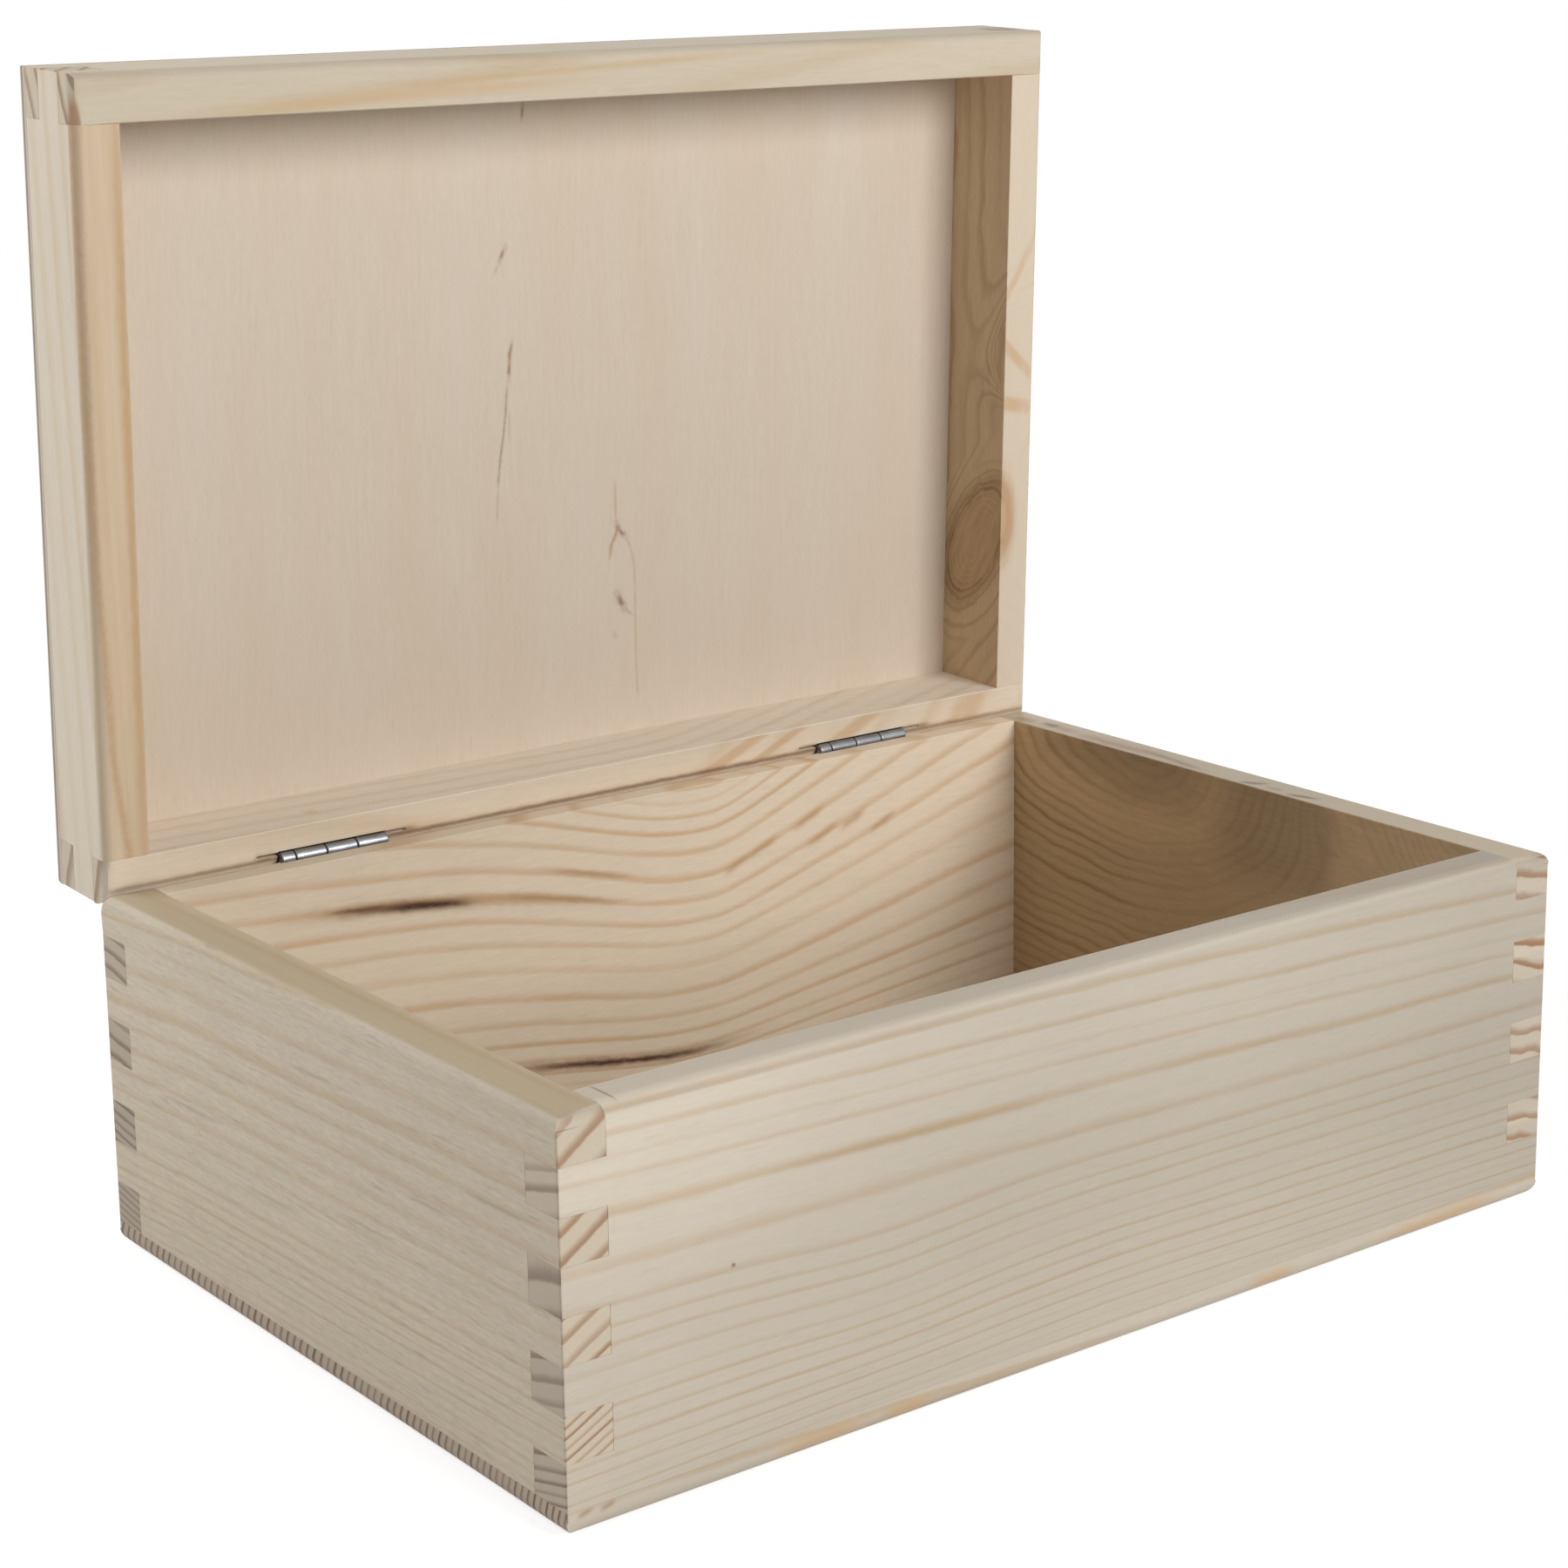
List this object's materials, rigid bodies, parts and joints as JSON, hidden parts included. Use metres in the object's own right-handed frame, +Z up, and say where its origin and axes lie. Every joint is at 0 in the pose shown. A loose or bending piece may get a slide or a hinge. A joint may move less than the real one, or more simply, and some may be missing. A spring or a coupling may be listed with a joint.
{
  "type": "hinged wooden box",
  "caption": "Open pine box with box-jointed corners, a glued-on bottom and a framed plywood lid that swings up on barrel hinges let into the back edge and stands open.",
  "frame": {"origin": "middle of the underside of the bottom panel", "axes": "+X to the right seen from the front, +Y towards the back where the hinges are, +Z up; the lid is stored standing open as in the picture"},
  "size_m": [0.3, 0.2271, 0.2922],
  "materials": {
    "pine": "bare planed and sanded pine",
    "plywood": "bare sanded plywood face",
    "plated_steel": "bright plated"
  },
  "bodies": {
    "box": {"front_board": "pine", "back_board": "pine", "left_board": "pine", "right_board": "pine", "bottom_panel": "pine", "left_hinge_body_leaf": "plated_steel", "left_hinge_pin": "plated_steel", "right_hinge_body_leaf": "plated_steel", "right_hinge_pin": "plated_steel"},
    "lid": {"lid_front_rail": "pine", "lid_back_rail": "pine", "lid_left_rail": "pine", "lid_right_rail": "pine", "lid_panel": "plywood", "left_hinge_lid_leaf": "plated_steel", "right_hinge_lid_leaf": "plated_steel"}
  },
  "joints": [
    {"name": "lid_swing", "type": "hinge", "parent": "box", "child": "lid", "pos_m": [0, 0.09763, 0.0922], "axis": [1, 0, 0], "range_deg": [0, 88]}
  ]
}
